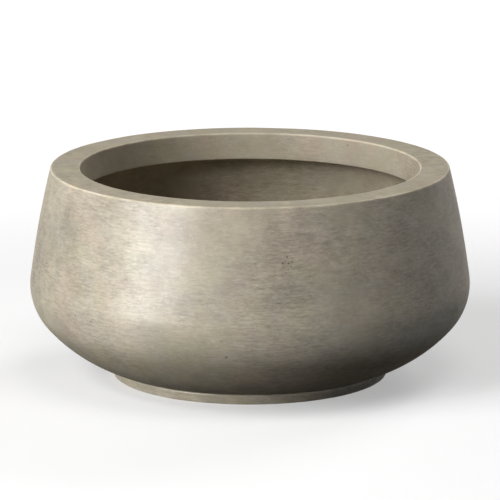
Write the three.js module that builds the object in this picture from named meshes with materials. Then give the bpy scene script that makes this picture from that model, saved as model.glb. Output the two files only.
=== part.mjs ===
import * as THREE from "three";

// A low, round concrete bowl planter, in millimetres, with +Z up. The origin is on the ground, at the
// middle of the foot.
//
// The bowl is laid up in a mould, from the outside in: a fair face coat, a glass-fibre mesh and a
// backing coat. Its rim turns in to a lip that is packed solid, it stands on a cast foot ring, and a
// rubber plug closes the drain hole in its floor. Every piece is round about the same upright axis.

// Driving dimensions, in millimetres and degrees.
const HEIGHT = 258.5;
const RIM_RADIUS = 244; // the rim's outside edge
const MOUTH_RADIUS = 208; // the rim's inside edge
const LIP_DEPTH = 33.5; // how far the lip hangs down inside the mouth
const LIP_DRAFT = 2.5; // how much narrower the mouth is at the lip's lower edge
const HAUNCH_DROP = 7; // how far the packed lip runs on down the wall, behind that edge
const ARRIS_ROUND = 3; // the rim's two edges, rubbed round
const SMALL_ROUND = 1.5; // the lip's lower edge, the foot's edges and the plug's
const FACE_THICKNESS = 4;
const MESH_THICKNESS = 1;
const WALL_THICKNESS = 15;
const FLOOR_TOP = 33; // the inside floor, above the ground
const FOOT_HEIGHT = 13.6;
const FOOT_RADIUS = 167.5; // where the foot meets the ground
const FOOT_WIDTH = 28;
const FOOT_DRAFT = 2; // on the inside of the foot
const DRAIN_RADIUS = 13;
const PLUG_SEAT_RADIUS = 22; // the recess that the plug's head sits in
const PLUG_SEAT_DEPTH = 5;
const PLUG_HEAD_CLEARANCE = 1;
const PLUG_STEM_LENGTH = 12;
const PLUG_STEM_TAPER = 0.8;
const PLUG_DISH_RADIUS = 14; // the hollow in the head's top, round the nub that it is pulled by
const PLUG_DISH_DEPTH = 1.5;
const PLUG_NUB_RADIUS = 4;
const BOND_GAP = 0.3; // the thickness of a bond, and of the plug's running clearance

// The outside of the wall, from the rim down, is three bends that run smoothly into each other. A bend's
// slope is the angle from straight down at its upper end, and is positive where the wall leans outwards.
const BENDS = [
  { radius: 1290, slope: 13.7, steps: 3 }, // the long upper wall, almost straight
  { radius: 72, slope: 7.6, steps: 6 }, // the belly
  { radius: 187, slope: -41.5, steps: 3 }, // the underside, down to the foot
];

const BOWL_SEGMENTS = 60;
const PLUG_SEGMENTS = 32;
const ROUND_STEPS = 2; // along each rounded edge

// A corner of a piece's section: its distance from the axis, its height, and the radius it is rounded to.
const corner = (r, z, round = 0) => ({ point: new THREE.Vector2(r, z), round });

// The arc that rounds a corner off, touching the two straight sides that meet there.
function roundedCorner(before, { point, round }, after) {
  const back = before.point.clone().sub(point).normalize();
  const onward = after.point.clone().sub(point).normalize();
  const halfAngle = Math.acos(back.dot(onward)) / 2;
  const toCentre = back.clone().add(onward).setLength(round / Math.sin(halfAngle));
  const centre = point.clone().add(toCentre);
  const first = point.clone().addScaledVector(back, round / Math.tan(halfAngle));
  const turn = (Math.PI - 2 * halfAngle) * Math.sign(onward.cross(back));
  const arc = [];
  for (let step = 0; step <= ROUND_STEPS; step += 1) {
    arc.push(first.clone().rotateAround(centre, (turn * step) / ROUND_STEPS));
  }
  return arc;
}

// The points of a section, with its rounded corners worked out.
function sectionPoints(corners) {
  const count = corners.length;
  return corners.flatMap((here, i) => {
    const before = corners[(i + count - 1) % count];
    const after = corners[(i + 1) % count];
    return here.round > 0 ? roundedCorner(before, here, after) : [here.point];
  });
}

// A ring turned about the upright axis from a closed section, given anticlockwise with the axis at its
// left. A section that ends on the axis makes a solid body instead.
function turned(name, material, corners, segments = BOWL_SEGMENTS) {
  const points = sectionPoints(corners);
  const closesOnAxis = points[0].x === 0 && points[points.length - 1].x === 0;
  if (!closesOnAxis) points.push(points[0].clone());
  const geometry = new THREE.LatheGeometry(points, segments);
  geometry.rotateX(Math.PI / 2);
  const mesh = new THREE.Mesh(geometry, material);
  mesh.name = name;
  return mesh;
}

// Each bend's centre and its two end angles, worked out from the rim's edge down to the top of the foot.
function placeBends() {
  const end = new THREE.Vector2(RIM_RADIUS, HEIGHT);
  return BENDS.map((bend, i) => {
    const from = THREE.MathUtils.degToRad(bend.slope);
    const centre = new THREE.Vector2(Math.cos(from), Math.sin(from)).multiplyScalar(-bend.radius).add(end);
    const next = BENDS[i + 1];
    const to = next ? THREE.MathUtils.degToRad(next.slope) : Math.asin((FOOT_HEIGHT - centre.y) / bend.radius);
    end.set(Math.cos(to), Math.sin(to)).multiplyScalar(bend.radius).add(centre);
    return { ...bend, centre, from, to };
  });
}

const placedBends = placeBends();

// The wall's line at a depth inside its outside face, from the height called bottom up to the one called
// top. The bends share their centres at every depth, so each layer is equally thick all the way.
function wallLine(depth, bottom, top) {
  const last = placedBends.length - 1;
  const line = placedBends.flatMap((bend, i) => {
    const radius = bend.radius - depth;
    const angleAt = (z) => Math.asin((z - bend.centre.y) / radius);
    const from = i === 0 ? angleAt(top) : bend.from;
    const to = i === last ? angleAt(bottom) : bend.to;
    const points = [];
    for (let step = i === 0 ? 0 : 1; step <= bend.steps; step += 1) {
      const angle = THREE.MathUtils.lerp(from, to, step / bend.steps);
      points.push(corner(bend.centre.x + radius * Math.cos(angle), bend.centre.y + radius * Math.sin(angle)));
    }
    return points;
  });
  return line.reverse();
}

// The layers' depths inside the outside face, and the height to which the inner ones are laid up.
const MESH_DEPTH = FACE_THICKNESS + BOND_GAP;
const BACKING_DEPTH = MESH_DEPTH + MESH_THICKNESS + BOND_GAP;
const LAY_UP_TOP = HEIGHT - FACE_THICKNESS - BOND_GAP;
const LIP_FOOT = HEIGHT - LIP_DEPTH;

// The face coat runs in one skin from the drain hole under the base, up the outside, over the rim and
// down the lip.
function faceCoat(material) {
  const underside = FOOT_HEIGHT;
  const outside = wallLine(0, underside, HEIGHT);
  const inside = wallLine(FACE_THICKNESS, underside + FACE_THICKNESS, HEIGHT - FACE_THICKNESS);
  outside[outside.length - 1].round = ARRIS_ROUND;
  return turned("face_coat", material, [
    corner(DRAIN_RADIUS, underside),
    ...outside,
    corner(MOUTH_RADIUS, HEIGHT, ARRIS_ROUND),
    corner(MOUTH_RADIUS - LIP_DRAFT, LIP_FOOT, SMALL_ROUND),
    corner(MOUTH_RADIUS - LIP_DRAFT + FACE_THICKNESS, LIP_FOOT),
    corner(MOUTH_RADIUS + FACE_THICKNESS, HEIGHT - FACE_THICKNESS),
    ...inside.reverse(),
    corner(DRAIN_RADIUS, underside + FACE_THICKNESS),
  ]);
}

// A mesh of glass fibre is pressed into the back of the face coat, and covers it from drain to rim.
function fibreMesh(material) {
  const inner = MESH_DEPTH + MESH_THICKNESS;
  return turned("fibre_mesh", material, [
    corner(DRAIN_RADIUS, FOOT_HEIGHT + MESH_DEPTH),
    ...wallLine(MESH_DEPTH, FOOT_HEIGHT + MESH_DEPTH, LAY_UP_TOP),
    ...wallLine(inner, FOOT_HEIGHT + inner, LAY_UP_TOP).reverse(),
    corner(DRAIN_RADIUS, FOOT_HEIGHT + inner),
  ]);
}

// The backing coat is the strong inner wall and the floor, with a recess for the plug's head.
function backingCoat(material) {
  return turned("backing_coat", material, [
    corner(DRAIN_RADIUS, FOOT_HEIGHT + BACKING_DEPTH),
    ...wallLine(BACKING_DEPTH, FOOT_HEIGHT + BACKING_DEPTH, LAY_UP_TOP),
    ...wallLine(WALL_THICKNESS, FLOOR_TOP, LAY_UP_TOP).reverse(),
    corner(PLUG_SEAT_RADIUS, FLOOR_TOP),
    corner(PLUG_SEAT_RADIUS, FLOOR_TOP - PLUG_SEAT_DEPTH),
    corner(DRAIN_RADIUS, FLOOR_TOP - PLUG_SEAT_DEPTH),
  ]);
}

// The lip is packed solid between the face coat's turned-in skin and the backing coat.
function rimCore(material) {
  const skinBack = MOUTH_RADIUS + FACE_THICKNESS + BOND_GAP;
  const wall = wallLine(WALL_THICKNESS + BOND_GAP, FLOOR_TOP, LAY_UP_TOP);
  const wallTop = wall[wall.length - 1].point;
  const upperBend = placedBends[0];
  const haunchFoot = LIP_FOOT - HAUNCH_DROP;
  const wallRadius = upperBend.radius - WALL_THICKNESS - BOND_GAP;
  const haunchAngle = Math.asin((haunchFoot - upperBend.centre.y) / wallRadius);
  return turned("rim_core", material, [
    corner(skinBack - LIP_DRAFT, LIP_FOOT),
    corner(upperBend.centre.x + wallRadius * Math.cos(haunchAngle), haunchFoot),
    corner(wallTop.x, LAY_UP_TOP),
    corner(skinBack, LAY_UP_TOP),
  ]);
}

// The foot is a cast ring, bonded under the bowl. Its outside leans in from the wall's end to the ground.
function footRing(material) {
  const top = FOOT_HEIGHT - BOND_GAP;
  const wallEnd = wallLine(0, FOOT_HEIGHT, HEIGHT)[0].point;
  const innerRadius = FOOT_RADIUS - FOOT_WIDTH;
  return turned("foot_ring", material, [
    corner(innerRadius, 0, SMALL_ROUND),
    corner(FOOT_RADIUS, 0, SMALL_ROUND),
    corner(wallEnd.x - BOND_GAP, top),
    corner(innerRadius + FOOT_DRAFT, top),
  ]);
}

// The plug is a solid rubber bung. Its head sits in the recess, flush with the floor.
function drainPlug(material) {
  const seat = FLOOR_TOP - PLUG_SEAT_DEPTH + BOND_GAP;
  const headTop = FLOOR_TOP - BOND_GAP;
  const dishFloor = headTop - PLUG_DISH_DEPTH;
  const headRadius = PLUG_SEAT_RADIUS - PLUG_HEAD_CLEARANCE;
  const stemFoot = seat - PLUG_STEM_LENGTH;
  const stemRadius = DRAIN_RADIUS - BOND_GAP;
  return turned(
    "drain_plug",
    material,
    [
      corner(0, stemFoot),
      corner(stemRadius - PLUG_STEM_TAPER, stemFoot),
      corner(stemRadius, seat),
      corner(headRadius, seat),
      corner(headRadius, headTop, SMALL_ROUND),
      corner(PLUG_DISH_RADIUS, headTop),
      corner(PLUG_DISH_RADIUS - PLUG_DISH_DEPTH, dishFloor),
      corner(PLUG_NUB_RADIUS + PLUG_DISH_DEPTH, dishFloor),
      corner(PLUG_NUB_RADIUS, headTop),
      corner(0, headTop),
    ],
    PLUG_SEGMENTS,
  );
}

const concrete = new THREE.MeshStandardMaterial({ color: 0xa39b88, roughness: 0.85, metalness: 0 });
const backingConcrete = new THREE.MeshStandardMaterial({ color: 0x8d8676, roughness: 0.95, metalness: 0 });
const glassFibre = new THREE.MeshStandardMaterial({ color: 0xd8d5c8, roughness: 0.7, metalness: 0 });
const rubber = new THREE.MeshStandardMaterial({ color: 0x2b2a28, roughness: 0.75, metalness: 0 });

const planter = new THREE.Group();
planter.add(faceCoat(concrete));
planter.add(fibreMesh(glassFibre));
planter.add(backingCoat(backingConcrete));
planter.add(rimCore(backingConcrete));
planter.add(footRing(concrete));
planter.add(drainPlug(rubber));

export default planter;
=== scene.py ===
# %% [markdown]
# # A concrete bowl planter
# A low, wide planter, cast in thin concrete: a rim that turns in to a thick lip, a belly that curves in
# underneath, and a short foot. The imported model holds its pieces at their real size. This script gives
# them their fine surface: turned meshes with rubbed edges, and materials built from noise, because a
# cast concrete skin is never one colour and never quite smooth.

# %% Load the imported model, and keep its box
import math

import bmesh
import bpy
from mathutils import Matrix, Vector, noise


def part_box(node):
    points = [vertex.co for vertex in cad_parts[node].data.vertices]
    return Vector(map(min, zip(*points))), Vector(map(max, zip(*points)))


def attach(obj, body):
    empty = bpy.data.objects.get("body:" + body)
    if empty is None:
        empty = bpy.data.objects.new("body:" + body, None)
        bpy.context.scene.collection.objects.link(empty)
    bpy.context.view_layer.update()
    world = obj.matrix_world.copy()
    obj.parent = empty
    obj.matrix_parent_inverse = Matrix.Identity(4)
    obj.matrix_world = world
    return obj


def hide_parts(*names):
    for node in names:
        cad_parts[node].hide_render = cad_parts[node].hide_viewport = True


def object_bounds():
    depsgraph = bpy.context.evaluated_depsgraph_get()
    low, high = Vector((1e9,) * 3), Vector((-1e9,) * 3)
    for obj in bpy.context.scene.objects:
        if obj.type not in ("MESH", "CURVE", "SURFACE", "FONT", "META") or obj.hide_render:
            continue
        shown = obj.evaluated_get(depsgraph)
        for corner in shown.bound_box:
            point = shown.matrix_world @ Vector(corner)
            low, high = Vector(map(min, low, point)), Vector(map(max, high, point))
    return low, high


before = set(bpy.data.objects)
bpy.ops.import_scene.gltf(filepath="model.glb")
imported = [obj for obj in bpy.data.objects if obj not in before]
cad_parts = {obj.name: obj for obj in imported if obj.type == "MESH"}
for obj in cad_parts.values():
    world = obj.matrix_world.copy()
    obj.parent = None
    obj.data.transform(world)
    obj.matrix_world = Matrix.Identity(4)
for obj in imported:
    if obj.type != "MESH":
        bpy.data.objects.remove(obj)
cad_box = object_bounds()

MM = 0.001
print("CAD box, in mm:", [[round(value / MM, 1) for value in point] for point in cad_box])

# %% [markdown]
# ## The camera
# The photograph was taken from far away with a long lens, so the rim's ellipse hardly tapers. The
# distance, the height and the downward tilt were worked out from the ellipses of the rim, the mouth and
# the foot. A lens of 360 mm on a 36 mm sensor, six metres away, frames the bowl as the photograph does.

# %% Camera
CAMERA_DISTANCE = 5.991
CAMERA_HEIGHT = 1.488
CAMERA_TILT = math.radians(12.56)
CAMERA_LENS = 360
SENSOR_WIDTH = 36

camera_data = bpy.data.cameras.new("camera")
camera_data.lens = CAMERA_LENS
camera_data.sensor_width = SENSOR_WIDTH
camera_data.clip_end = 100
camera = bpy.data.objects.new("camera", camera_data)
camera.location = (0, -CAMERA_DISTANCE, CAMERA_HEIGHT)
camera.rotation_euler = (math.pi / 2 - CAMERA_TILT, 0, 0)
bpy.context.scene.collection.objects.link(camera)
bpy.context.scene.camera = camera
bpy.context.scene.view_settings.view_transform = "Standard"

# %% [markdown]
# ## The bowl's outline
# From the rim down, the outside is three bends that run smoothly into each other: a long one that is
# almost straight, a tight one round the belly, and a middling one underneath. Each has a radius and a
# slope where it starts. The layers of the wall are the same bends with smaller radii, about the same
# centres, so the outline is worked out once and every layer uses it. A Bezier curve drawn over the
# photograph would fit the outside as well, but it has no centres to draw the other layers from.

# %% Sizes, in metres
HEIGHT = cad_box[1].z
RIM_RADIUS = 244 * MM
MOUTH_RADIUS = 208 * MM
LIP_DEPTH = 33.5 * MM
LIP_DRAFT = 2.5 * MM
FACE_THICKNESS = 4 * MM
WALL_THICKNESS = 15 * MM
FLOOR_TOP = 33 * MM
FOOT_HEIGHT = 13.6 * MM
FOOT_RADIUS = 167.5 * MM
FOOT_WIDTH = 28 * MM
FOOT_DRAFT = 2 * MM
DRAIN_RADIUS = 13 * MM
BOND_GAP = 0.3 * MM
BENDS = [(1290 * MM, 13.7), (72 * MM, 7.6), (187 * MM, -41.5)]
BEND_PARTS = [28, 16, 20]


def placed_bends():
    """Each bend's centre, radius, and the angles of its upper and lower ends."""
    placed = []
    end = Vector((RIM_RADIUS, 0, HEIGHT))
    for i, (radius, slope) in enumerate(BENDS):
        upper = math.radians(slope)
        centre = end - radius * Vector((math.cos(upper), 0, math.sin(upper)))
        if i + 1 < len(BENDS):
            lower = math.radians(BENDS[i + 1][1])
        else:
            lower = math.asin((FOOT_HEIGHT - centre.z) / radius)
        end = centre + radius * Vector((math.cos(lower), 0, math.sin(lower)))
        placed.append((centre, radius, upper, lower))
    return placed


wall_bends = placed_bends()
for centre, radius, upper, lower in wall_bends:
    slopes = [round(math.degrees(angle), 1) for angle in (upper, lower)]
    print(f"bend of {radius / MM:.0f} mm, from {slopes[0]} to {slopes[1]} degrees")

# %% [markdown]
# ## Drawing a section, and turning it
# A potter or a mould maker would turn this shape, and so does Blender: half of the cross-section is
# drawn as a chain of edges, and the spin operator turns it about the upright axis. The same operator
# draws the arcs, by spinning the last point of the chain about the bend's own centre. A Screw modifier
# would also turn the section, but an operator gives a mesh that can be rubbed and worn by hand after.

# %% A section that is drawn point by point


class Section:
    """Half of a turned piece's cross-section: a chain of edges in the XZ plane, beside the axis."""

    def __init__(self, radius, height):
        self.bm = bmesh.new()
        self.first = self.bm.verts.new((radius, 0, height))
        self.last = self.first

    def line(self, radius, height, parts=1):
        """Goes straight to a point, in equal parts."""
        start = self.last.co.copy()
        for part in range(parts):
            made = bmesh.ops.extrude_vert_indiv(self.bm, verts=[self.last])
            self.last = made["verts"][0]
            self.last.co = start.lerp(Vector((radius, 0, height)), (part + 1) / parts)

    def arc(self, centre, turn, parts):
        """Goes round a centre. A positive turn goes outwards from the top."""
        made = bmesh.ops.spin(
            self.bm, geom=[self.last], cent=centre, axis=(0, 1, 0), angle=turn, steps=parts
        )
        self.last = next(item for item in made["geom_last"] if isinstance(item, bmesh.types.BMVert))

    def wall(self, depth, low, high, upwards=False, coarse=1):
        """Follows the wall, at a depth inside its outside face, between two heights.

        A wall that is coarse=4 has a quarter of the points of one that is coarse=1.
        """
        stretches = []
        for (centre, radius, upper, lower), parts in zip(wall_bends, BEND_PARTS):
            stretches.append([centre, radius - depth, upper, lower, max(2, parts // coarse)])
        stretches[0][2] = math.asin((high - wall_bends[0][0].z) / stretches[0][1])
        stretches[-1][3] = math.asin((low - wall_bends[-1][0].z) / stretches[-1][1])
        if upwards:
            stretches = [[c, r, lower, upper, n] for c, r, upper, lower, n in reversed(stretches)]
        centre, radius, start = stretches[0][:3]
        self.line(centre.x + radius * math.cos(start), centre.z + radius * math.sin(start))
        for centre, radius, start, end, parts in stretches:
            self.arc(centre, start - end, parts)

    def turn(self, steps, closed=True):
        """Spins the chain about the upright axis. A closed body's two ends are joined first."""
        if closed and self.first.co.x > 0:
            self.bm.edges.new((self.last, self.first))
        bmesh.ops.spin(
            self.bm,
            geom=self.bm.verts[:] + self.bm.edges[:],
            cent=(0, 0, 0),
            axis=(0, 0, 1),
            angle=2 * math.pi,
            steps=steps,
            use_merge=True,
        )
        bmesh.ops.remove_doubles(self.bm, verts=self.bm.verts, dist=0.01 * MM)
        bmesh.ops.recalc_face_normals(self.bm, faces=self.bm.faces)
        return self.bm


# %% [markdown]
# ## Rounded edges, and finished pieces
# No edge on a cast piece is sharp: the mould's corners have a small radius, and use rubs the rest. A Bevel
# modifier rounds every edge that is sharp enough. Here one ring is wanted at a time, each with its own
# radius, so its edges are found by where they are, and the bevel operator rounds just those.

# %% Rounding an edge that runs round a piece, and finishing a piece
NEAR = 0.05 * MM


def ring_at(bm, radius, height):
    """The edges of the circle at a radius and a height."""
    on_ring = {
        vert
        for vert in bm.verts
        if abs(vert.co.xy.length - radius) < NEAR and abs(vert.co.z - height) < NEAR
    }
    return [edge for edge in bm.edges if set(edge.verts) <= on_ring]


def round_edge(bm, radius, height, offset, segments=4):
    """Rounds the edge that runs round a turned piece at a radius and a height."""
    bmesh.ops.bevel(
        bm,
        geom=ring_at(bm, radius, height),
        offset=offset,
        offset_type="OFFSET",
        affect="EDGES",
        segments=segments,
        profile=0.5,
        material=-1,
        clamp_overlap=True,
    )


def finish_piece(name, bm, body, slot, *nodes):
    """Makes the object, shades it smooth, says what it rides on and hides the parts it replaces. The slot is
    not used.
    """
    mesh = bpy.data.meshes.new(name)
    bm.to_mesh(mesh)
    bm.free()
    mesh.shade_smooth()
    piece = bpy.data.objects.new(name, mesh)
    bpy.context.scene.collection.objects.link(piece)
    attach(piece, body)
    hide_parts(*nodes)
    print(name, "has", len(mesh.polygons), "faces")
    return piece


# %% [markdown]
# ## The marks of making
# Wet concrete slumps a little and moulds are rubbed smooth by hand, so no cast surface is quite true. Each
# vertex that shows is pushed into the piece along its normal, by an amount that slow noise decides: a third
# of a millimetre at most on the face, and about one on the inside. It is only ever pushed in, so no piece
# outgrows its size or touches its neighbour.
#
# A slump is wide and a dent is small: the number after each is how many of them fit in a metre. A Displace
# modifier would do the same, but it would need a vertex group to keep it off the hidden faces.

# %% Pushing a surface in by slow noise
FACE_SLUMP = (0.4 * MM, 16)
RIM_DENTS = (0.3 * MM, 70)
INSIDE_SLUMP = (1.2 * MM, 24)
INSIDE_DENTS = (0.4 * MM, 90)
PACKING_DENTS = (0.8 * MM, 45)
FOOT_DENTS = (0.6 * MM, 30)


def push_in(bm, depth, lumps, shows):
    """Pushes in the vertices that show, by up to a depth, in so many lumps to the metre."""
    bm.normal_update()
    moves = {}
    for vert in bm.verts:
        if shows(vert):
            amount = depth * max(0, noise.noise(vert.co * lumps, noise_basis="PERLIN_ORIGINAL"))
            moves[vert] = vert.normal * amount
    for vert, move in moves.items():
        vert.co -= move
    print("pushed in by up to", round(max(move.length for move in moves.values()) / MM, 2), "mm")


def faces_outwards(vert):
    """Whether a vertex looks away from the bowl's axis."""
    return vert.normal.xy.dot(vert.co.xy.normalized()) > 0.1


# %% [markdown]
# ## The face coat
# The mould's skin: one run of fair-faced concrete from the drain hole under the base, up the outside,
# over the rim and down the lip. Its back never shows, so the chain goes back up with a quarter of the
# points. The rim's two edges, the arrises, are rounded after the spin. They could be drawn as arcs in the
# section, but a bevel leaves their roundness as one number, to try against the photograph.

# %% Face coat
BOWL_STEPS = 320
LIP_FOOT = HEIGHT - LIP_DEPTH
LIP_RADIUS = MOUTH_RADIUS - LIP_DRAFT
RIM_PARTS = 7
BASE_PARTS = 16
ARRIS_OFFSET = 1.2 * MM
SMALL_OFFSET = 1.4 * MM

section = Section(LIP_RADIUS, LIP_FOOT)
section.line(MOUTH_RADIUS, HEIGHT, RIM_PARTS)
section.line(RIM_RADIUS, HEIGHT, RIM_PARTS)
section.wall(0, FOOT_HEIGHT, HEIGHT)
section.line(DRAIN_RADIUS, FOOT_HEIGHT, BASE_PARTS)
section.line(DRAIN_RADIUS, FOOT_HEIGHT + FACE_THICKNESS)
section.wall(FACE_THICKNESS, FOOT_HEIGHT + FACE_THICKNESS, HEIGHT - FACE_THICKNESS, upwards=True, coarse=4)
section.line(MOUTH_RADIUS + FACE_THICKNESS, HEIGHT - FACE_THICKNESS)
section.line(LIP_RADIUS + FACE_THICKNESS, LIP_FOOT)
face_bm = section.turn(BOWL_STEPS)
round_edge(face_bm, RIM_RADIUS, HEIGHT, ARRIS_OFFSET)
round_edge(face_bm, MOUTH_RADIUS, HEIGHT, ARRIS_OFFSET)
round_edge(face_bm, LIP_RADIUS, LIP_FOOT, SMALL_OFFSET)


def shows_on_face(vert):
    """Whether a vertex of the face coat is on the outside, the lip or the top of the rim."""
    on_lip = vert.co.xy.length < MOUTH_RADIUS + FACE_THICKNESS / 2 and vert.co.z > LIP_FOOT + NEAR
    return faces_outwards(vert) or on_lip or vert.co.z > HEIGHT - NEAR


push_in(face_bm, *FACE_SLUMP, shows_on_face)
push_in(face_bm, *RIM_DENTS, lambda vert: vert.co.z > HEIGHT - NEAR)
face = finish_piece("fair_face", face_bm, "planter", "fair_face_concrete", "face_coat")

# %% [markdown]
# ## The backing coat
# The inside of the bowl: the strong coat, pressed in by hand against the back of the face coat. Its
# floor has a recess where the drain plug sits. A hand can't press a sharp corner, so where the wall meets
# the floor the bevel makes a cove, and the inside is pushed in deeper than the face, which took its shape
# from the mould.

# %% Backing coat
LAY_UP_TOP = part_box("backing_coat")[1].z
BACKING_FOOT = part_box("backing_coat")[0].z
BACKING_DEPTH = BACKING_FOOT - FOOT_HEIGHT
PLUG_SEAT_RADIUS = 22 * MM
PLUG_SEAT_DEPTH = 5 * MM
COVE_OFFSET = 9 * MM

section = Section(DRAIN_RADIUS, BACKING_FOOT)
section.wall(BACKING_DEPTH, BACKING_FOOT, LAY_UP_TOP, upwards=True, coarse=4)
section.wall(WALL_THICKNESS, FLOOR_TOP, LAY_UP_TOP)
floor_radius = section.last.co.x
section.line(PLUG_SEAT_RADIUS, FLOOR_TOP, 2 * BASE_PARTS)
section.line(PLUG_SEAT_RADIUS, FLOOR_TOP - PLUG_SEAT_DEPTH)
section.line(DRAIN_RADIUS, FLOOR_TOP - PLUG_SEAT_DEPTH)
backing_bm = section.turn(BOWL_STEPS)
round_edge(backing_bm, PLUG_SEAT_RADIUS, FLOOR_TOP, SMALL_OFFSET, 3)
round_edge(backing_bm, floor_radius, FLOOR_TOP, COVE_OFFSET)
print("the floor is flat out to", round(floor_radius / MM, 1), "mm from the axis")


def shows_inside(vert):
    """Whether a vertex of the backing coat is on the inner wall, or on the floor clear of the plug."""
    on_wall = FLOOR_TOP + NEAR < vert.co.z < LAY_UP_TOP - NEAR and not faces_outwards(vert)
    on_floor = abs(vert.co.z - FLOOR_TOP) < NEAR and vert.co.xy.length > PLUG_SEAT_RADIUS + 4 * SMALL_OFFSET
    return on_wall or on_floor


push_in(backing_bm, *INSIDE_SLUMP, shows_inside)
push_in(backing_bm, *INSIDE_DENTS, shows_inside)
backing = finish_piece("inner_wall_and_floor", backing_bm, "planter", "backing_concrete", "backing_coat")

# %% [markdown]
# ## The packing in the lip
# The lip is a thin skin turned in from the wall, and it would snap under a hand. On a real planter the
# hollow behind it is packed with the same coat as the inside, and sloped off below so that the weight runs
# into the wall. The photograph shows nothing of it, so it can't drop far. At 7 mm the camera still sees a
# strip of it about half a pixel high, under the lip at the back. Its lower corner is where the wall is, so a
# small function gives the wall's distance from the axis at any height. The marks on the outside use it too.

# %% Packing in the lip
HAUNCH_DROP = 7 * MM
PACKING_DEPTH = WALL_THICKNESS + BOND_GAP


def wall_radius(depth, height):
    """How far from the axis the wall is, at a depth inside its outside face and at a height."""
    for centre, radius, upper, lower in wall_bends:
        if height >= centre.z + radius * math.sin(lower) - NEAR:
            return centre.x + math.sqrt((radius - depth) ** 2 - (height - centre.z) ** 2)


skin_back = MOUTH_RADIUS + FACE_THICKNESS + BOND_GAP
haunch_foot = LIP_FOOT - HAUNCH_DROP
section = Section(skin_back - LIP_DRAFT, LIP_FOOT)
section.line(wall_radius(PACKING_DEPTH, haunch_foot), haunch_foot, 5)
section.line(wall_radius(PACKING_DEPTH, LAY_UP_TOP), LAY_UP_TOP)
section.line(skin_back, LAY_UP_TOP)
packing_bm = section.turn(BOWL_STEPS)
print("the packing slopes down by", round(HAUNCH_DROP / MM, 1), "mm to the wall")
push_in(packing_bm, *PACKING_DENTS, lambda vert: haunch_foot + NEAR < vert.co.z < LIP_FOOT - NEAR)
packing = finish_piece("lip_packing", packing_bm, "planter", "backing_concrete", "rim_core")

# %% [markdown]
# ## The glass-fibre net
# An open net of glass yarn is pressed into the back of the face coat before the next coat goes on. The
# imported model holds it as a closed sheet. Here it is a net: the wall's line is spun in few, wide steps, the
# floor is a flat grid cut to a disc, and the wireframe operator turns every edge of them into yarn. A
# pattern of lines on the sheet would be lighter, but it would have no thickness where the net is cut.

# %% Net on the wall, and on the floor
YARN = 0.9 * MM
NET_PITCH = 12 * MM
NET_DEPTH = FACE_THICKNESS + BOND_GAP + 0.5 * MM
NET_FLOOR_RADIUS = 150 * MM
NET_STEPS = 138

NET_FOOT = FOOT_HEIGHT + NET_DEPTH
section = Section(NET_FLOOR_RADIUS, NET_FOOT)
section.line(NET_FLOOR_RADIUS + NET_PITCH, NET_FOOT)
section.wall(NET_DEPTH, NET_FOOT, LAY_UP_TOP - YARN, upwards=True, coarse=3)
net_bm = section.turn(NET_STEPS, closed=False)
cells_across = round(2 * NET_FLOOR_RADIUS / NET_PITCH)
floor_net = bmesh.ops.create_grid(
    net_bm, x_segments=cells_across, y_segments=cells_across, size=NET_FLOOR_RADIUS
)
bmesh.ops.translate(net_bm, verts=floor_net["verts"], vec=(0, 0, NET_FOOT))


def misses_floor(cell):
    """Whether a cell of the grid reaches into the drain hole, or out to the wall's part of the net."""
    reach = [vert.co.xy.length for vert in cell.verts]
    return min(reach) < DRAIN_RADIUS + YARN or max(reach) > NET_FLOOR_RADIUS - YARN


floor_cells = {face for vert in floor_net["verts"] for face in vert.link_faces}
bmesh.ops.delete(net_bm, geom=[cell for cell in floor_cells if misses_floor(cell)], context="FACES")
print("the net has", len(net_bm.faces), "cells")

# %% Edges into yarn
bmesh.ops.wireframe(
    net_bm, faces=net_bm.faces, thickness=YARN / 2, use_replace=True, use_boundary=True, use_even_offset=False
)
bmesh.ops.recalc_face_normals(net_bm, faces=net_bm.faces)
net = finish_piece("glass_net", net_bm, "planter", "glass_fibre", "fibre_mesh")

# %% [markdown]
# ## The foot ring
# A cast ring set in under the bowl. Its outside leans in towards the ground, and its two lower edges are
# rounded, as they would be after a few years of being dragged over paving. A torus would be quicker to
# make, but its section is round, and this one has flat faces that the bowl and the ground meet.

# %% Foot ring
wall_end = wall_bends[-1][0].x + wall_bends[-1][1] * math.cos(wall_bends[-1][3])
FOOT_INNER = FOOT_RADIUS - FOOT_WIDTH

section = Section(FOOT_INNER, 0)
section.line(FOOT_RADIUS, 0, 3)
section.line(wall_end - BOND_GAP, FOOT_HEIGHT, 3)
section.line(FOOT_INNER + FOOT_DRAFT, FOOT_HEIGHT)
foot_bm = section.turn(BOWL_STEPS)
round_edge(foot_bm, FOOT_RADIUS, 0, SMALL_OFFSET)
round_edge(foot_bm, FOOT_INNER, 0, SMALL_OFFSET)
push_in(foot_bm, *FOOT_DENTS, lambda vert: faces_outwards(vert) and NEAR < vert.co.z < FOOT_HEIGHT - NEAR)
foot = finish_piece("cast_foot", foot_bm, "planter", "fair_face_concrete", "foot_ring")

# %% [markdown]
# ## The drain plug
# A moulded rubber bung, let into the floor, with a dish in its head and a nub in the dish to pull it by.
# A cylinder with inset and extruded faces would do, but a section shows all of its steps at once. This one
# starts and ends on the axis, so the spin closes it, and the points that meet there are merged. The plug
# rides on its own body, because it is the one piece that moves.

# %% Drain plug
PLUG_STEPS = 96
plug_low, plug_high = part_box("drain_plug")
PLUG_RADIUS = plug_high.x
PLUG_TOP = plug_high.z
PLUG_FOOT = plug_low.z
PLUG_SEAT = FLOOR_TOP - PLUG_SEAT_DEPTH + BOND_GAP
STEM_RADIUS = DRAIN_RADIUS - BOND_GAP
STEM_TAPER = 0.8 * MM
DISH_RADIUS = 14 * MM
DISH_DEPTH = 1.5 * MM
NUB_RADIUS = 4 * MM

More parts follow.
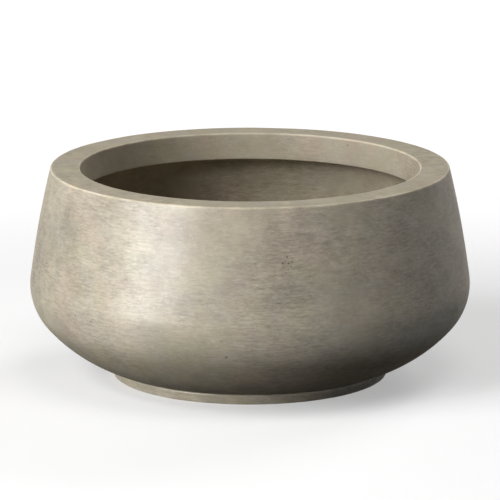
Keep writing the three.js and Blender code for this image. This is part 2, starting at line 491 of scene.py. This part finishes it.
section = Section(0, PLUG_FOOT)
section.line(STEM_RADIUS - STEM_TAPER, PLUG_FOOT)
section.line(STEM_RADIUS, PLUG_SEAT)
section.line(PLUG_RADIUS, PLUG_SEAT)
section.line(PLUG_RADIUS, PLUG_TOP)
section.line(DISH_RADIUS, PLUG_TOP)
section.line(DISH_RADIUS - DISH_DEPTH, PLUG_TOP - DISH_DEPTH)
section.line(NUB_RADIUS + DISH_DEPTH, PLUG_TOP - DISH_DEPTH)
section.line(NUB_RADIUS, PLUG_TOP)
section.line(0, PLUG_TOP)
plug_bm = section.turn(PLUG_STEPS)
for radius, height, offset in [
    (STEM_RADIUS - STEM_TAPER, PLUG_FOOT, 0.8 * MM),
    (PLUG_RADIUS, PLUG_TOP, 1.4 * MM),
    (PLUG_RADIUS, PLUG_SEAT, 0.6 * MM),
    (DISH_RADIUS, PLUG_TOP, 0.7 * MM),
    (NUB_RADIUS, PLUG_TOP, 0.7 * MM),
]:
    round_edge(plug_bm, radius, height, offset, 3)
plug = finish_piece("rubber_plug", plug_bm, "plug", "plug_rubber", "drain_plug")

# %% [markdown]
# ## Writing a material as a sum
# A concrete's colour is a sum of patterns: slow clouds, streaks, speckles and pits. Each pattern is a node
# that gives one number at each point, and Blender's Math nodes add and multiply those numbers. Wiring them
# by hand hides the sum, so one small class wraps a node's output, and adding two of them adds the node.

# %% The class that wraps a node's output


class Shade:
    """One output of a node. Arithmetic on it adds a Math node to the same material."""

    def __init__(self, tree, socket=None):
        self.tree = tree
        self.socket = socket

    def node(self, kind, settings=None, inputs=None, output=0):
        """Adds any node: its settings come first, then a value or a link for each input."""
        made = self.tree.nodes.new(kind)
        for name, value in (settings or {}).items():
            setattr(made, name, value)
        for name, value in (inputs or {}).items():
            if isinstance(value, Shade):
                self.tree.links.new(value.socket, made.inputs[name])
            else:
                made.inputs[name].default_value = value
        return Shade(self.tree, made.outputs[output])

    def math(self, operation, first, second=0.0):
        return self.node("ShaderNodeMath", {"operation": operation}, {0: first, 1: second})

    def __add__(self, other):
        return self.math("ADD", self, other)

    def __radd__(self, other):
        return self.math("ADD", other, self)

    def __sub__(self, other):
        return self.math("SUBTRACT", self, other)

    def __rsub__(self, other):
        return self.math("SUBTRACT", other, self)

    def __mul__(self, other):
        return self.math("MULTIPLY", self, other)

    def __rmul__(self, other):
        return self.math("MULTIPLY", other, self)

    def __pow__(self, other):
        return self.math("POWER", self, other)

    def __abs__(self):
        return self.math("ABSOLUTE", self)

    def between(self, low, high):
        """Goes smoothly from 0 where this is low to 1 where it is high."""
        return self.node(
            "ShaderNodeMapRange",
            {"interpolation_type": "SMOOTHSTEP"},
            {"Value": self, "From Min": low, "From Max": high},
        )

    def noise(self, scale, detail=2.0, roughness=0.5, stretch=1.0):
        """Noise at this place, with so many lumps to the metre. A stretch above 1 flattens the lumps."""
        place = self
        if stretch != 1:
            place = self.node("ShaderNodeMapping", None, {"Vector": self, "Scale": (1, 1, stretch)})
        return self.node(
            "ShaderNodeTexNoise",
            None,
            {"Vector": place, "Scale": scale, "Detail": detail, "Roughness": roughness},
        )

    def mix(self, first, second):
        """Goes from one colour to another as this goes from 0 to 1."""
        return self.node("ShaderNodeMix", {"data_type": "RGBA"}, {0: self, 6: first, 7: second}, output=2)

    def scaled(self, amount):
        """A colour or a vector, times a number."""
        return self.node("ShaderNodeVectorMath", {"operation": "SCALE"}, {"Vector": self, "Scale": amount})


def new_material(name):
    """A material with a plain shader, and the place on the piece that every pattern starts from."""
    material = bpy.data.materials.new(name)
    material.use_nodes = True
    tree = material.node_tree
    place = Shade(tree).node("ShaderNodeTexCoord", output="Object")
    return material, tree.nodes["Principled BSDF"], place


def plug_in(shader, **shades):
    """Links shades to the shader's sockets. An underscore in a name stands for a space."""
    for name, shade in shades.items():
        shade.tree.links.new(shade.socket, shader.inputs[name.replace("_", " ")])


# %% [markdown]
# ## Places on the skin
# Most marks on cast concrete fall anywhere, and noise can place them. A few are worth placing one by one: the
# cluster of air holes on the front, and some big soft patches of painted light and shade. The patches were
# put where the bowl came out paler or darker than in the photograph, and they make up for what the lamps get
# wrong: each lightens or darkens the colour as painted light and shade. Each mark is a ball round a point on
# the outside, given by its angle from the front and its height. A texture painted by hand could hold them,
# but this needs no picture.

# %% A soft ball round a point on the outside


def on_outside(angle, height):
    """The place on the bowl's outside at an angle from the front, in degrees, and at a height."""
    turn = math.radians(angle)
    radius = wall_radius(0, height)
    return Vector((radius * math.sin(turn), -radius * math.cos(turn), height))


def ball(place, angle, height, low, high, ragged=0):
    """Goes from 1 near a point on the outside to 0 away from it.

    The height and the two distances are in millimetres. The ragged shade shifts the ball's edge, in metres.
    """
    distance = place.node(
        "ShaderNodeVectorMath",
        {"operation": "DISTANCE"},
        {0: place, 1: on_outside(angle, height * MM)},
        output="Value",
    )
    return 1 - (distance + ragged).between(low * MM, high * MM)


# %% Air holes, and patches of painted light and shade
# Each air hole: angle in degrees, height and radius in millimetres. Each patch of painted light and shade:
# the same, and its strength, above 0 for painted light and below 0 for painted shade.
AIR_HOLES = [
    (9.8, 201, 1.2),
    (8.6, 194, 1.4),
    (9.3, 196.5, 1.0),
    (10.2, 193.6, 1.1),
    (11.1, 195, 1.3),
    (8.8, 189.5, 1.0),
    (10.0, 186.5, 1.1),
    (10.9, 190, 1.0),
    (9.4, 183, 0.9),
    (1.5, 194, 0.8),
    (0.7, 119, 1.0),
    (-1.8, 251, 0.9),
    (-50.6, 111, 1.1),
    (-51.6, 106.6, 0.9),
    (-6.1, 81.4, 2.0),
]
PAINTED_LIGHT_AND_SHADE = [
    (11, 175, 120, -0.2),
    (-34, 150, 110, 0.1),
    (-28, 172, 48, -0.14),
    (-34, 100, 50, 0.2),
    (-60, 200, 50, -0.2),
    (-78, 160, 80, -0.27),
    (66, 105, 90, -0.25),
]
print(len(AIR_HOLES), "air holes and", len(PAINTED_LIGHT_AND_SHADE), "stains are placed by hand")

# %% [markdown]
# ## The patterns in cement
# A cement skin shows the same few patterns at every scale: slow blooms where it dried at different rates,
# clouds, level streaks from the brush that spread the first coat, short threads, pale dashes, grains of
# sand, wandering hairlines, and air holes. Each is one noise at its real size, and every concrete on this
# planter is mixed from them, so they are worked out in one place.
#
# Two patterns take more than that. A Voronoi pattern splits space into cells: the distance to a cell's
# middle makes a round hole, and the cell's own random colour decides whether it has one. A hairline is
# where a slow noise passes through its middle value, which happens along a thin, wandering line.

# %% Air holes and hairlines
HOLE_CELLS = 58
HOLE_CHANCE = 0.15


def air_holes(place):
    """Small dark holes: one in some of the cells of a Voronoi pattern, and the listed ones."""
    cells = place.node("ShaderNodeTexVoronoi", None, {"Vector": place, "Scale": HOLE_CELLS})
    cell_colour = Shade(place.tree, cells.socket.node.outputs["Color"])
    chance = place.node("ShaderNodeSeparateColor", None, {"Color": cell_colour})
    holes = (1 - cells.between(0.03, 0.075)) * (1 - chance.between(HOLE_CHANCE, HOLE_CHANCE + 0.01))
    for angle, height, size in AIR_HOLES:
        holes = holes + ball(place, angle, height, size / 2, size)
    return holes


def hairlines(place):
    """Fine lines that wander, where a slow noise passes through its middle value."""
    wander = place.noise(34, detail=4, stretch=2) - 0.5
    return 1 - abs(wander).between(0.002, 0.012)


# %% [markdown]
# ## Where the skin is worn, shaded and sealed
# The position on the piece says more than noise does: the arrises of the rim are paler, partly from rubbing
# and partly as a painted highlight on their rounding; the face is painted darker low down, as painted shade
# in the crease above the foot ring; and the sealer that was rolled on the outside gives the satin sheen.
# There is next to none of it on the top of the rim and none on the lip, and it thins out under the belly.
# These masks could be painted as vertex colours, but worked out from the height and the radius they stay as
# narrow as they should be, however far apart the vertices are.

# %% Height and radius as masks


def height_and_radius(place):
    """How high a point is above the ground, and how far it is from the bowl's axis."""
    spread = place.node("ShaderNodeSeparateXYZ", None, {"Vector": place})
    across, along, up = (Shade(place.tree, output) for output in spread.socket.node.outputs)
    return up, (across * across + along * along) ** 0.5


def worn_and_glinting_arrises(up, radius):
    """1 along the rim's outer and inner edges, and 0 a few millimetres away from them."""
    arris_lines = 0
    for edge_radius in (RIM_RADIUS, MOUTH_RADIUS):
        aside, below = radius - edge_radius, up - HEIGHT
        distance = (aside * aside + below * below) ** 0.5
        arris_lines = arris_lines + (1 - distance.between(1.0 * MM, 2.6 * MM))
    return arris_lines


# %% [markdown]
# ## Concrete
# The colour is a tint times a value. The tint wanders between a rosy, an olive and an ashy grey. The value
# starts at 1, and every pattern adds to it or takes from it, by an amount found by comparing renders with
# the photograph. The sealer is the shader's coat: a weight for how much of it lies on the skin, and a fixed
# gloss for how smooth it is. A real sealer has an IOR near 1.5. Here it is higher and the weight is low, so
# that the sheen is more even: at a low IOR, a surface shines mostly where it turns away from the eye.

# %% Concrete
CREASE_SHADE_TOP = 45 * MM
SEALER_FADE = 50 * MM
SEALER_IOR = 2.8
SEALER_ROUGHNESS = 0.34
BARE_SPECULAR = 0.05
RELIEF_STRENGTH = 0.5
RELIEF_DEPTH = 0.25 * MM


def concrete(name, hues, arris_wear_and_glint=0, grain=0.4, streaky=1, crease_shade=0, sealed=0, sealed_from=0):
    """One mix of concrete. Its hues are rose, olive and ash, and sealed_from is a height in metres."""
    material, shader, place = new_material(name)
    up, radius = height_and_radius(place)
    top = up.between(HEIGHT - 2 * MM, HEIGHT - 1 * MM)
    blooms = place.noise(9, detail=3)
    veils = place.noise(23, detail=5, roughness=0.6)
    clouds = place.noise(26, detail=6, roughness=0.66, stretch=1.3)
    streaks = place.noise(64, detail=3, roughness=0.55, stretch=6)
    threads = place.noise(150, detail=2, stretch=4.5)
    dashes = place.noise(120, detail=2, stretch=5).between(0.6, 0.72)
    sand = place.noise(420, detail=2)
    holes = air_holes(place)

    rose, olive, ash = hues
    tint = (place.noise(14, detail=4) - 0.07 * top).between(0.36, 0.64).mix(olive, rose)
    tint = veils.between(0.42, 0.66).mix(tint, ash)
    fine = 0.55 * (streaks - 0.5) + 0.45 * (threads - 0.5)
    value = 0.75 * (clouds - 0.5) + 0.12 * (blooms - 0.5)
    value = value + streaky * (0.5 + blooms.between(0.4, 0.6)) * fine
    value = value + 0.16 * sand.between(0.58, 0.72) + 0.12 * dashes * veils.between(0.45, 0.6)
    value = value - 0.1 * hairlines(place) * blooms.between(0.45, 0.6)
    on_lip = up.between(200 * MM, 210 * MM) * (1 - radius.between(MOUTH_RADIUS, MOUTH_RADIUS + 4 * MM))
    # Painted light: the top of the rim is 5 % lighter than the rest of the skin.
    # Painted shade: each air hole is darker than the skin round it, for the shade inside the pit.
    value = 1 + value * (1 - 0.3 * (top + on_lip)) + 0.05 * top - 0.55 * holes
    # Each patch of painted light and shade lightens or darkens the colour round its point.
    for angle, height, size, strength in PAINTED_LIGHT_AND_SHADE:
        value = value + strength * ball(place, angle, height, 0, size, ragged=0.05 * (clouds - 0.5))
    # The rim's two edges are paler: partly rubbed wear, and partly a painted highlight along their rounding.
    value = value + arris_wear_and_glint * worn_and_glinting_arrises(up, radius) * (0.4 + 0.6 * clouds.between(0.35, 0.6))
    # Painted shade: the face is darker low down on the belly, in the crease above the foot ring.
    painted_crease_shade = crease_shade * (1 - up.between(FOOT_HEIGHT, CREASE_SHADE_TOP))
    plug_in(shader, Base_Color=tint.scaled(value - painted_crease_shade))

    sealer = sealed * up.between(sealed_from, sealed_from + SEALER_FADE) * (1 - on_lip) * (1 - 0.85 * top)
    plug_in(shader, Coat_Weight=sealer * (0.9 + 0.9 * fine + 0.7 * (clouds - 0.5)))
    shader.inputs["Coat IOR"].default_value = SEALER_IOR
    shader.inputs["Coat Roughness"].default_value = SEALER_ROUGHNESS
    shader.inputs["Specular IOR Level"].default_value = BARE_SPECULAR
    plug_in(shader, Roughness=0.8 + 0.3 * (clouds - 0.5) + 0.2 * (streaks - 0.5) + 0.1 * holes)
    height = 0.5 * streaks + 0.35 * threads + 0.6 * clouds + grain * sand - 2.5 * holes
    relief = height.node(
        "ShaderNodeBump",
        None,
        {"Height": height, "Strength": RELIEF_STRENGTH, "Distance": RELIEF_DEPTH},
    )
    plug_in(shader, Normal=relief)
    print(name, "is made of", len(material.node_tree.nodes), "nodes")
    return material


# %% [markdown]
# ## Three mixes
# One recipe, three mixes. The fair face has fine sand, a rim with pale edges and the sealer. The inner coat
# is coarser and nobody sealed it, and its hues are a little darker, as painted shade inside the bowl. The
# foot ring was cast apart and is given paler hues than the face, and it has the sealer too: starting below
# the ground, it is at full strength all the way up.

# %% Three mixes
FACE_HUES = ((0.379, 0.32, 0.248, 1), (0.361, 0.326, 0.238, 1), (0.363, 0.325, 0.259, 1))
# The inner coat's hues are a little darker than the face's: painted shade inside the bowl.
BACKING_HUES = ((0.369, 0.315, 0.242, 1), (0.354, 0.318, 0.234, 1), (0.355, 0.317, 0.251, 1))
# The foot ring's hues are paler than the face's.
FOOT_HUES = ((0.53, 0.455, 0.34, 1), (0.51, 0.46, 0.335, 1), (0.51, 0.455, 0.36, 1))
fair_concrete = concrete(
    "fair_concrete", FACE_HUES, arris_wear_and_glint=0.6, grain=0.3, streaky=0.9, crease_shade=0.3, sealed=0.26, sealed_from=0.05
)
inner_concrete = concrete("hand_laid_concrete", BACKING_HUES, grain=0.6, streaky=0.8)
foot_concrete = concrete("cast_concrete", FOOT_HUES, streaky=1.3, sealed=0.26, sealed_from=-0.05)
face.data.materials.append(fair_concrete)
backing.data.materials.append(inner_concrete)
packing.data.materials.append(inner_concrete)
foot.data.materials.append(foot_concrete)

# %% [markdown]
# ## Rubber and glass yarn
# The plug is black rubber that has gone grey with dust, which gathers in blotches. The yarn is pale and
# dull, as it is before the cement closes over it.

# %% Rubber and glass yarn
rubber, shader, place = new_material("moulded_rubber")
dust = place.noise(90, detail=4)
plug_in(shader, Base_Color=dust.between(0.4, 0.75).mix((0.022, 0.021, 0.02, 1), (0.07, 0.064, 0.055, 1)))
plug_in(shader, Roughness=0.55 + 0.3 * (dust - 0.5))
plug.data.materials.append(rubber)

glass, shader, place = new_material("glass_yarn")
fuzz = place.noise(260, detail=3)
plug_in(shader, Base_Color=fuzz.mix((0.62, 0.6, 0.52, 1), (0.76, 0.74, 0.66, 1)))
plug_in(shader, Roughness=0.5 + 0.3 * fuzz)
net.data.materials.append(glass)
print("the plug is", rubber.name, "and the net is", glass.name)

# %% [markdown]
# ## Light
# The light comes from the left. A soft box at the front left gives the side its satin band, and wider ones
# beside it, below it and above it fill the rest of the left side. A wide, weak one overhead lights the rim,
# and one behind on the right lights the left half of the lip. Apart from those two nothing comes from the
# right, so the bowl goes dark there and its shadow falls that way. An area light is soft because it is big:
# each is at least 1.4 m wide. A picture of a studio could light the bowl too, but boxes move one by one.

# %% Soft boxes
LIT_PLACE = Vector((0, 0, 0.13))
BOX_DISTANCE = 4


def soft_box(name, azimuth, elevation, width, height, power):
    """An area light that faces the bowl. Azimuth 0 is the camera's side, and goes up to the right."""
    data = bpy.data.lights.new(name, "AREA")
    data.shape = "RECTANGLE"
    data.size = width
    data.size_y = height
    data.energy = power
    box = bpy.data.objects.new(name, data)
    turn, rise = math.radians(azimuth), math.radians(elevation)
    away = Vector((math.sin(turn) * math.cos(rise), -math.cos(turn) * math.cos(rise), math.sin(rise)))
    box.location = LIT_PLACE + BOX_DISTANCE * away
    box.rotation_euler = away.to_track_quat("Z", "Y").to_euler()
    bpy.context.scene.collection.objects.link(box)
    print(f"{name}: {power} W, {width} by {height} m, {azimuth} degrees round and {elevation} up")


soft_box("key_box", -41, 24, 1.4, 1.1, 54)
soft_box("side_box", -60, 24, 1.6, 1.0, 32)
soft_box("low_box", -53, 5, 2.2, 0.9, 65)
soft_box("high_box", -56, 42, 2.4, 1.1, 68)
soft_box("top_box", 35, 67, 2.4, 2.0, 37)
soft_box("back_box", 143, 30, 1.8, 1.8, 62)

# %% [markdown]
# ## Floor and backdrop
# The backdrop is white paper that runs on under the bowl. The floor takes the bowl's shadow, and away from
# the bowl it turns by itself into the same white as the world behind it, so no horizon shows. Only what the
# eye sees is white: for light that bounces on to the bowl, the floor is dark, as it is in a studio where
# black cards keep the underside from washing out. Inside the foot ring it doesn't glow at all, so that the
# drain hole looks dark when the plug is out. A curved sweep of paper would hide the horizon as well, but
# its white would change with every lamp.

# %% Floor
FLOOR_HALF_WIDTH = 30

floor_mesh = bpy.data.meshes.new("floor")
floor_bm = bmesh.new()
bmesh.ops.create_grid(floor_bm, x_segments=1, y_segments=1, size=FLOOR_HALF_WIDTH)
floor_bm.to_mesh(floor_mesh)
floor_bm.free()
floor = bpy.data.objects.new("floor", floor_mesh)
bpy.context.scene.collection.objects.link(floor)


def seen_directly(start):
    """1 for the rays that show a surface to the eye: straight, mirrored or through glass."""
    path = start.node("ShaderNodeLightPath").socket.node.outputs
    camera_ray, glossy_ray, glass_ray = (
        Shade(start.tree, path[name]) for name in ("Is Camera Ray", "Is Glossy Ray", "Is Transmission Ray")
    )
    return camera_ray + glossy_ray + glass_ray


# %% Paper on the floor
BLACK = (0, 0, 0, 1)
WHITE = (1, 1, 1, 1)
FLOOR_GLOW = 0.39
# The share of the lamps' light that the paper gives back: to the bowl, and on top of that to the eye.
PAPER_BOUNCE = 0.06
PAPER_SEEN = 0.57
SHADOW_REACH = 0.55
WHITE_FROM = 1.25

floor_paint, shader, place = new_material("floor")
seen = seen_directly(place)
away = place.node("ShaderNodeVectorMath", {"operation": "LENGTH"}, {0: place}, output="Value")
far = away.between(SHADOW_REACH, WHITE_FROM)
in_the_open = away.between(FOOT_INNER, FOOT_RADIUS)
glow = seen * (FLOOR_GLOW * in_the_open + (1 - FLOOR_GLOW) * far)
paper = PAPER_BOUNCE + PAPER_SEEN * seen * (1 - far)
plug_in(shader, Base_Color=paper.mix(BLACK, WHITE))
shader.inputs["Roughness"].default_value = 1
shader.inputs["Specular IOR Level"].default_value = 0
shader.inputs["Emission Strength"].default_value = 1
plug_in(shader, Emission_Color=glow.mix(BLACK, WHITE))
floor_mesh.materials.append(floor_paint)
print("the floor turns white between", SHADOW_REACH, "and", WHITE_FROM, "m from the bowl's middle")

# %% Backdrop
world = bpy.data.worlds.new("studio")
bpy.context.scene.world = world
world.use_nodes = True
backdrop = Shade(world.node_tree)
background = world.node_tree.nodes["Background"]
backdrop.tree.links.new(seen_directly(backdrop).socket, background.inputs["Strength"])
background.inputs["Color"].default_value = WHITE
print("the floor is", round(floor.dimensions.x), "m wide, and the world behind it is white")
